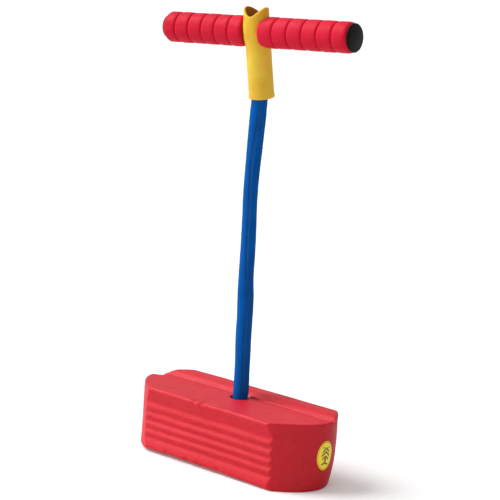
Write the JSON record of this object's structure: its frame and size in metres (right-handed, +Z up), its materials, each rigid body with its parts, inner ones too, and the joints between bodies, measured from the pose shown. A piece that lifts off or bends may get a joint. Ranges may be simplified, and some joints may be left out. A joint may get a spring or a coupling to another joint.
{
  "type": "pogo stick",
  "caption": "Foam pogo jumper: a fluted foam block to stand on, an elastic cord rising from it, and a T-handle with foam grips.",
  "frame": {"origin": "on the ground, under the middle of the foam block, on the underside of the plug that closes the cord's anchor recess", "axes": "+Z up, +X along the block towards the end with the label, -Y towards the front long face"},
  "size_m": [0.3084, 0.1064, 0.5774],
  "materials": {
    "block_foam": "moulded closed-cell foam, matt, slightly waxy",
    "plug_foam": "cut closed-cell foam, open grain",
    "grip_foam": "soft foam, fine pores, matt",
    "cord_cover": "fine-woven stretch sleeve, satin",
    "cord_rubber": "natural latex",
    "collar_rubber": "soft tube, matt with a faint grain",
    "cap_plastic": "black, slightly glossy",
    "hub_plastic": "natural nylon",
    "anchor_plastic": "black polypropylene",
    "zinc_steel": "bright zinc plate",
    "bar_steel": "thin-wall tube, plain",
    "squeaker_plastic": "milky polyethylene",
    "squeaker_soft": "soft vinyl",
    "label_film": "printed film"
  },
  "bodies": {
    "base": {"foam_block": "block_foam", "end_label": "label_film", "bottom_plug": "plug_foam", "cord_tail": "cord_cover", "tail_ferrule": "zinc_steel", "anchor_washer": "zinc_steel", "anchor_plate": "anchor_plastic", "squeaker_plug": "plug_foam", "squeaker_case": "squeaker_plastic", "squeaker_reed": "squeaker_plastic", "squeaker_bellows": "squeaker_soft"},
    "squeaker": {"squeaker_cap": "squeaker_plastic"},
    "neck": {"cord_neck": "cord_rubber"},
    "cord": {"cord_sleeve": "cord_cover", "cord_core": "cord_rubber"},
    "cord_head": {"upper_ferrule": "zinc_steel"},
    "handle": {"handlebar_tube": "bar_steel", "top_plug": "hub_plastic", "plug_retainer": "hub_plastic", "bar_bolt": "zinc_steel", "left_grip": "grip_foam", "right_grip": "grip_foam", "left_end_cap": "cap_plastic", "right_end_cap": "cap_plastic", "collar": "collar_rubber"}
  },
  "joints": [
    {"name": "squeaker_press", "type": "slide", "parent": "base", "child": "squeaker", "axis": [0, 0, -1], "range_m": [0, 0.006], "stiffness_N_per_m": 30, "deforming": ["squeaker_bellows"]},
    {"name": "lean_fore_aft", "type": "hinge", "parent": "base", "child": "neck", "pos_m": [0, 0, 0.084], "axis": [1, 0, 0], "range_deg": [-25, 25], "stiffness_Nm_per_rad": 6},
    {"name": "lean_sideways", "type": "hinge", "parent": "neck", "child": "cord", "pos_m": [0, 0, 0.084], "axis": [0, 1, 0], "range_deg": [-25, 25], "stiffness_Nm_per_rad": 6},
    {"name": "bungee_stretch", "type": "slide", "parent": "cord", "child": "cord_head", "axis": [0, 0, 1], "range_m": [0, 0.2], "stiffness_N_per_m": 220, "deforming": ["cord_sleeve", "cord_core"]},
    {"name": "cord_twist", "type": "hinge", "parent": "cord_head", "child": "handle", "pos_m": [-0.002, -0.003, 0.546], "axis": [-0.0177, -0.1505, 0.9885], "range_deg": [-90, 90], "stiffness_Nm_per_rad": 0.1}
  ]
}
